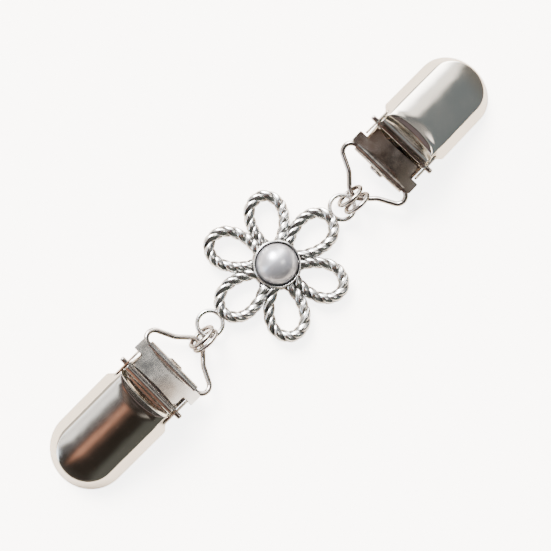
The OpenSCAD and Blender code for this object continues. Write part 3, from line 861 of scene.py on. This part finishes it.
def add_rope(bm, flower, turn, share, relief):
    """Two strands of fine wires, twisted along one petal. relief is 1 on the crests and 0 deep between them, and
    sets the painted shade in the valleys.
    """
    radius = flower.rope / MM / 2
    strand = STRAND_SHARE * radius
    off = radius - strand
    line = even_petal(petal_knots(flower, share), ROPE_STEP)
    n = len(line)
    petal_turn = Matrix.Rotation(turn, 2)
    # The strand leans along the rope as it winds round it
    rise = 2 * pi * ROPE_TURNS * off / ((n - 1) * ROPE_STEP)
    for which in (0, 1):
        rows = []
        for i in range(n):
            p = line[i]
            head = (line[min(i + 1, n - 1)] - line[max(i - 1, 0)]).normalized()
            side = Vector((-head.y, head.x))
            # The twist runs a little uneven, as laid by hand
            uneven = 0.45 * sin(9.0 * i / n + 5.0 * turn) + 0.25 * sin(23.0 * i / n + 2.0 * turn)
            spin = 2 * pi * ROPE_TURNS * i / (n - 1) + uneven + pi * which
            row = []
            for j in range(STRAND_SIDES):
                a = 2 * pi * j / STRAND_SIDES + spin
                # Wires wind the other way round inside the strand
                groove = abs(sin((a - spin) * STRAND_WIRES / 2 + spin * 1.5))
                r = strand * (0.8 + 0.2 * groove ** 0.7)
                u = off * cos(spin) + r * cos(a)
                w = off * sin(spin) + r * sin(a)
                back = -rise * r * sin(a - spin)
                flat = petal_turn @ (p + side * u + head * back)
                row.append(Vector((flat.x, flat.y, flower.height / MM + w)))
                # Painted shade: relief drops towards the rope's middle and in the grooves between wires, so the
                # colour darkens there
                out = hypot(u, w) / radius
                relief.append(max(0.0, min(1.0, (out - 0.42) / 0.5)) * (0.35 + 0.65 * groove))
            rows.append(row)
        made = add_rows(bm, rows, wrap_points=True)
        bm.faces.new(list(reversed(made[0])))
        bm.faces.new(made[-1])


class CLIP_OT_flower(bpy.types.Operator):
    """Make the rope petals, the end eyelets and the pearl's setting"""
    bl_idname = "sweater_clip.flower"
    bl_label = "Flower"

    def execute(self, context):
        flower = context.scene.flower_sizes
        material = cast_silver(context.scene.clip_finishes)
        place = Matrix.Translation((flower.shift, 0, 0)) @ Matrix.Rotation(flower.turn, 4, "Z") @ Matrix.Scale(MM, 4)
        for i in range(6):
            bm = bmesh.new()
            relief = []
            add_rope(bm, flower, radians(60 * i), PETAL_SHARE[i], relief)
            bmesh.ops.recalc_face_normals(bm, faces=bm.faces)
            mesh_piece("petal_rope_%d" % (i + 1), bm, place, material, "chain", "flower" if i == 0 else None,
                       relief)
        reach = flower.reach / MM + flower.rope / MM / 2
        radius, wire = flower.eyelet_radius / MM, flower.eyelet_wire / MM / 2
        for side, name in SIDES:
            bm = bmesh.new()
            x = side * (reach + radius - 0.4)
            path = [(x + radius * cos(2 * pi * i / 72), radius * sin(2 * pi * i / 72), flower.height / MM)
                    for i in range(72)]
            add_tube(bm, path, wire, 18, True)
            tidy(bm)
            relief = [0.62] * len(bm.verts)
            mesh_piece("eyelet_" + name, bm, place, material, "chain", None, relief)
        inner = flower.pearl / MM / 2 + 0.06
        profile = [(0, 0.06), (4.0, 0.06), (4.9, 0.1), (5.45, 0.35), (5.78, 0.8), (5.86, 1.35), (5.8, 1.75),
                   (5.6, 2.0), (5.47, 2.2), (5.43, 2.8), (5.45, 3.4), (5.52, 3.62), (5.53, 3.8), (5.46, 3.97),
                   (5.34, 4.05), (5.22, 4.03), (5.13, 3.9), (inner, 3.6), (inner, 2.9), (inner, 2.3),
                   (inner - 0.3, 2.2), (0, 2.2)]
        bm = bmesh.new()
        add_lathe(bm, profile, 120)
        tidy(bm)
        # Painted shade in the gap beside the pearl; plain silver on the top and the outer edge, half darkened on the
        # rest
        relief = [0.15 if hypot(v.co.x, v.co.y) < inner + 0.08 else
                  (1.0 if v.co.z > 3.45 or hypot(v.co.x, v.co.y) > 5.7 else 0.35) for v in bm.verts]
        mesh_piece("pearl_setting", bm, place, material, "chain", None, relief)
        return {"FINISHED"}


class CLIP_OT_pearl(bpy.types.Operator):
    """Make the pearl in its setting"""
    bl_idname = "sweater_clip.pearl"
    bl_label = "Pearl"

    def execute(self, context):
        flower = context.scene.flower_sizes
        material = pearl_nacre(context.scene.clip_finishes)
        r, seat = flower.pearl / MM / 2, 2.26
        profile = [(0, seat), (r * 0.8, seat), (r * 0.97, seat + 0.03)]
        profile += [(r * cos(radians(a)), seat + 0.1 + (r - 0.1) * sin(radians(a))) for a in range(0, 88, 3)]
        profile += [(0, seat + r)]
        bm = bmesh.new()
        add_lathe(bm, profile, 96)
        tidy(bm)
        place = Matrix.Translation((flower.shift, 0, 0)) @ Matrix.Scale(MM, 4)
        mesh_piece("pearl_bead", bm, place, material, "chain", "pearl")
        return {"FINISHED"}


# Stage

# Cards and lights on the dome of directions, seen from above: middle, half sizes, turn in degrees,
# softness of the edge, colour and gain
CARDS = (
    # A screen beyond the left clip, pale along its top, warm light and the brown of the room under it
    ((-0.5, 0.24), (0.24, 0.08), -6.0, 0.6, "#77767a", 1.0),
    ((-0.52, 0.36), (0.3, 0.05), -6.0, 0.6, "#eef0f2", 3.0),
    ((-0.52, 0.08), (0.2, 0.11), -4.0, 0.6, "#7d6258", 1.0),
    ((-0.56, 0.09), (0.17, 0.04), -4.0, 1.0, "#f0b094", 1.1),
    # Three boards that face the right clip's hip and lever
    ((0.02, 0.02), (0.1, 0.14), 0.0, 0.4, "#84777a", 1.0),
    ((-0.2, 0.14), (0.12, 0.06), 0.0, 0.4, "#8d786e", 1.0),
    ((-0.2, -0.15), (0.14, 0.06), 0.0, 0.4, "#a8a4a0", 1.4),
    # Two grey cards that face the left clip's lever, and a small light on the near side of them
    ((0.42, 0.08), (0.14, 0.13), 0.0, 0.4, "#8d9194", 1.0),
    ((0.44, -0.02), (0.15, 0.06), 0.0, 0.4, "#c0bfbd", 1.0),
    ((0.42, -0.2), (0.17, 0.11), 0.0, 0.5, "#fff8f2", 8.0),
)
LIGHTS = (
    # A small bright window high on the far side, which lights the pearl
    ((0.2, 0.72), (0.26, 0.16), 0.0, 0.35, "#fafbff", 80.0),
    # A blue-white light beyond the left nose
    ((-0.9, 0.4), (0.14, 0.1), -30.0, 0.5, "#dcecff", 7.0),
    # The soft box's pale end, which faces the right crown
    ((0.76, 0.22), (0.22, 0.07), 0.0, 0.6, "#fbf8f2", 3.2),
)


def studio_world(strength):
    """Soft studio surroundings: a dark room, a long soft box on the far side, cards and the pale table's edge."""
    world = bpy.data.worlds.new("studio")
    bpy.context.scene.world = world
    world.use_nodes = True
    tree = world.node_tree
    tree.nodes.clear()
    way = add_node(tree, "ShaderNodeTexCoord").outputs["Generated"]
    # Nothing in the room has a quite straight edge
    drift = add_node(tree, "ShaderNodeTexNoise", {"Vector": way, "Scale": 2.2, "Detail": 2.0})
    shake = add_node(tree, "ShaderNodeVectorMath", {0: drift.outputs["Color"], 1: (0.5, 0.5, 0.5)},
                     operation="SUBTRACT")
    small = add_node(tree, "ShaderNodeVectorMath", {0: shake.outputs["Vector"], "Scale": 0.08}, operation="SCALE")
    bent = add_node(tree, "ShaderNodeVectorMath", {0: way, 1: small.outputs["Vector"]}, operation="ADD")
    part = add_node(tree, "ShaderNodeSeparateXYZ", {"Vector": bent.outputs["Vector"]})
    x, y, z = (part.outputs[k] for k in "XYZ")

    def fade(value, low, high, at_low, at_high):
        return add_node(tree, "ShaderNodeMapRange", {
            "Value": value, "From Min": low, "From Max": high, "To Min": at_low, "To Max": at_high},
            interpolation_type="SMOOTHSTEP").outputs["Result"]

    def cross(a, b):
        return add_node(tree, "ShaderNodeMath", {0: a, 1: b}, operation="MULTIPLY").outputs["Value"]

    def band(value, low, high, soft):
        return cross(fade(value, low - soft, low + soft, 0.0, 1.0), fade(value, high - soft, high + soft, 1.0, 0.0))

    def spot(at, reach, turn, soft):
        local = add_node(tree, "ShaderNodeMapping", {
            "Vector": bent.outputs["Vector"], "Location": (*at, 0.0), "Rotation": (0.0, 0.0, radians(turn)),
            "Scale": (*reach, 50.0)}, vector_type="TEXTURE")
        far = add_node(tree, "ShaderNodeVectorMath", {0: local.outputs["Vector"]}, operation="LENGTH")
        return fade(far.outputs["Value"], 1.0 - soft, 1.0 + soft, 1.0, 0.0)

    def paint(below, mask, hex_colour, gain=1.0):
        return blend(tree, mask, below, shade(linear(hex_colour), gain))

    # The dark room overhead, dim grey towards the near side and a grey wall beyond the right clip
    tone = paint(linear("#37312c"), band(y, -2.0, -0.3, 0.05), "#6c6e69")
    tone = paint(tone, cross(band(x, 0.5, 2.0, 0.12), band(y, -0.75, 0.3, 0.1)), "#8b959b")
    # Everything grows paler down to the edge of the table
    tone = paint(tone, cross(band(z, -2.0, 0.4, 0.22), band(y, -0.4, 2.0, 0.15)), "#8b867f")
    tone = paint(tone, cross(band(z, -2.0, 0.14, 0.1), band(y, -0.5, 2.0, 0.2)), "#d8d0c5")
    for at, reach, turn, soft, hex_colour, gain in CARDS:
        tone = paint(tone, spot(at, reach, turn, soft), hex_colour, gain)
    # Long soft box on the far side, brightest on the right, and the pale wall behind it
    edge = add_node(tree, "ShaderNodeMath", {0: x, 1: 0.12, 2: y}, operation="MULTIPLY_ADD").outputs["Value"]
    tone = paint(tone, band(edge, 0.36, 2.0, 0.07), "#f7efe6", 1.3)
    tone = paint(tone, band(edge, 0.38, 0.47, 0.06), "#f4f8ff", 5.0)
    tone = paint(tone, cross(band(edge, 0.44, 0.72, 0.07), band(x, 0.3, 2.0, 0.3)), "#ffffff", 16.0)
    for at, reach, turn, soft, hex_colour, gain in LIGHTS:
        tone = paint(tone, spot(at, reach, turn, soft), hex_colour, gain)
    # The camera sees plain pale grey past the paper's end
    seen = add_node(tree, "ShaderNodeLightPath")
    plain = blend(tree, seen.outputs["Is Camera Ray"], tone, grey(0.93))
    back = add_node(tree, "ShaderNodeBackground", {"Color": plain, "Strength": strength})
    add_node(tree, "ShaderNodeOutputWorld", {"Surface": back.outputs["Background"]})


class CLIP_OT_stage(bpy.types.Operator):
    """Make the floor, the soft lights and the camera"""
    bl_idname = "sweater_clip.stage"
    bl_label = "Stage"

    def execute(self, context):
        stage = context.scene.stage_settings
        mesh = bpy.data.meshes.new("paper_floor")
        mesh.from_pydata([(-2, -2, 0), (2, -2, 0), (2, 2, 0), (-2, 2, 0)], [], [(0, 1, 2, 3)])
        mesh.materials.append(matt_paper(stage))
        floor = bpy.data.objects.new("paper_floor", mesh)
        context.scene.collection.objects.link(floor)
        studio_world(stage.light)
        for name, place, wide, power in (("soft_box_far", (0.05, 0.75, 0.75), 0.8, 6.0),
                                         ("soft_box_near", (0.1, -0.8, 0.7), 0.8, 4.0)):
            data = bpy.data.lights.new(name, "AREA")
            data.shape = "RECTANGLE"
            data.size, data.size_y = wide * 1.5, wide
            data.energy = power
            lamp = bpy.data.objects.new(name, data)
            lamp.location = place
            lamp.rotation_euler = (-Vector(place)).to_track_quat("-Z", "Y").to_euler()
            lamp.visible_glossy = False
            context.scene.collection.objects.link(lamp)
        turn = (Matrix.Rotation(-stage.camera_side, 4, "Y") @ Matrix.Rotation(stage.camera_front, 4, "X")
                @ Matrix.Rotation(stage.camera_roll, 4, "Z"))
        data = bpy.data.cameras.new("camera")
        data.sensor_width, data.lens, data.clip_start = 36.0, stage.lens, 0.01
        camera = bpy.data.objects.new("camera", data)
        aim = Vector((-0.0017, -0.00157, 0.003))
        camera.matrix_world = Matrix.Translation(aim + turn @ Vector((0, 0, stage.camera_distance))) @ turn
        context.scene.collection.objects.link(camera)
        context.scene.camera = camera
        return {"FINISHED"}


OPERATORS = (CLIP_OT_stage, CLIP_OT_shells, CLIP_OT_pins, CLIP_OT_jaws, CLIP_OT_levers, CLIP_OT_bails,
             CLIP_OT_jump_rings, CLIP_OT_flower, CLIP_OT_pearl)


class CLIP_PT_panel(bpy.types.Panel):
    """Lists the piece makers and their sizes"""
    bl_idname = "CLIP_PT_panel"
    bl_label = "Sweater Clip"
    bl_space_type = "VIEW_3D"
    bl_region_type = "UI"
    bl_category = "Sweater Clip"

    def draw(self, context):
        for operator in OPERATORS:
            self.layout.operator(operator.bl_idname)
        for group in SETTINGS:
            box = self.layout.box()
            settings = getattr(context.scene, group)
            for name in settings.__annotations__:
                box.prop(settings, name)


SETTINGS = {"clip_sizes": ClipSizes, "chain_sizes": ChainSizes, "flower_sizes": FlowerSizes,
            "clip_finishes": Finishes, "stage_settings": StageSettings}
CLASSES = tuple(SETTINGS.values()) + OPERATORS + (CLIP_PT_panel,)


def register():
    for cls in CLASSES:
        bpy.utils.register_class(cls)
    for name, cls in SETTINGS.items():
        setattr(bpy.types.Scene, name, PointerProperty(type=cls))


def unregister():
    for name in SETTINGS:
        delattr(bpy.types.Scene, name)
    for cls in reversed(CLASSES):
        bpy.utils.unregister_class(cls)


def main():
    register()
    for operator in OPERATORS:
        group, name = operator.bl_idname.split(".")
        getattr(getattr(bpy.ops, group), name)()
    bpy.context.view_layer.update()


if __name__ == "__main__":
    main()
